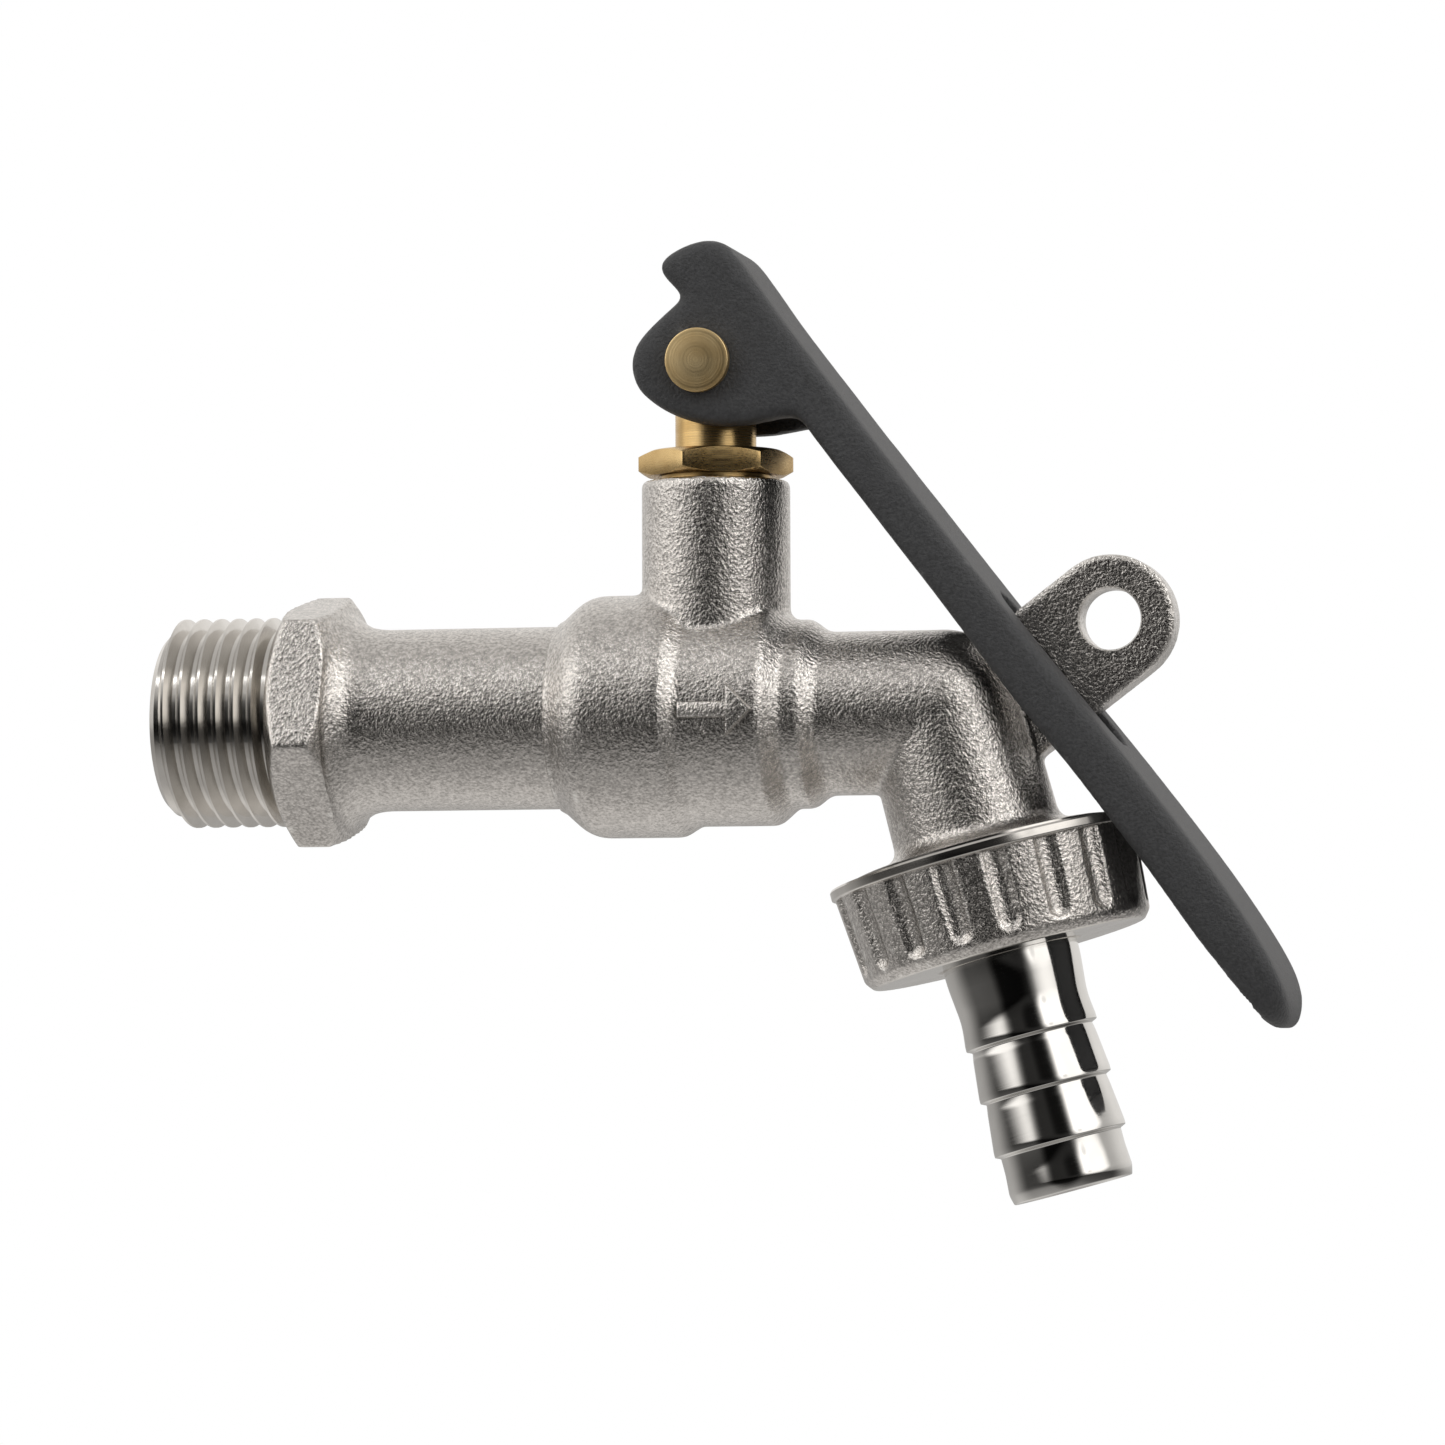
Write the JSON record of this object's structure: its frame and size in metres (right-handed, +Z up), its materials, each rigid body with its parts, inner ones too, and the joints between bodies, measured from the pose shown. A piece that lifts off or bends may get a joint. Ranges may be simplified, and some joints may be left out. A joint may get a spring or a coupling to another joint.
{
  "type": "hose bib",
  "caption": "Half-inch ball-valve hose bib with a folding lever, a padlock lug and a screwed-on hose tail.",
  "frame": {"origin": "centre of the inlet thread's end face", "axes": "+X along the body towards the spout, +Z up along the stem, the outlet leans 15 degrees forward from straight down"},
  "size_m": [0.1127, 0.0308, 0.0936],
  "materials": {
    "satin_nickel": "nickel-plated brass, fine sand-cast and blasted grain",
    "polished_nickel": "nickel-plated, turned and polished",
    "turned_brass": "bare turned brass with faint tool rings",
    "grey_paint": "dark grey textured powder coat",
    "white_plastic": "smooth white low-friction plastic",
    "black_rubber": "smooth black rubber"
  },
  "bodies": {
    "valve_body": {"valve_body": "satin_nickel", "inlet_tail": "satin_nickel", "tail_seal_ring": "black_rubber", "seat_inlet": "white_plastic", "seat_outlet": "white_plastic", "thrust_washer": "white_plastic", "packing_ring_lower": "white_plastic", "packing_ring_upper": "white_plastic", "gland_washer": "turned_brass", "gland_nut": "turned_brass"},
    "stem": {"stem": "turned_brass", "ball": "polished_nickel", "pivot_pin": "turned_brass", "stem_oring_lower": "black_rubber", "stem_oring_upper": "black_rubber"},
    "lever": {"lever": "grey_paint"},
    "hose_washer": {"hose_washer": "black_rubber"},
    "hose_tail": {"hose_tail": "polished_nickel"},
    "coupling_nut": {"coupling_nut": "satin_nickel"}
  },
  "joints": [
    {"name": "stem_turn", "type": "hinge", "parent": "valve_body", "child": "stem", "pos_m": [0.0557, 0, 0], "axis": [0, 0, 1], "range_deg": [-0.6, 0.6]},
    {"name": "lever_lift", "type": "hinge", "parent": "stem", "child": "lever", "pos_m": [0.0557, 0, 0.0343], "axis": [0, -1, 0], "range_deg": [0, 60]},
    {"name": "nut_travel", "type": "slide", "parent": "valve_body", "child": "hose_washer", "axis": [0.2588, 0, -0.9659], "range_m": [0, 0.0046]},
    {"name": "nut_turn", "type": "hinge", "parent": "hose_washer", "child": "coupling_nut", "pos_m": [0.07845, 0, 0], "axis": [0.2588, 0, -0.9659], "range_deg": [0, 900]},
    {"name": "tail_swivel", "type": "hinge", "parent": "hose_washer", "child": "hose_tail", "pos_m": [0.07845, 0, 0], "axis": [0.2588, 0, -0.9659], "continuous": true}
  ],
  "couplings": [
    {"joint": "nut_travel", "follows": "nut_turn", "m_per_rad": 0.00028871}
  ]
}
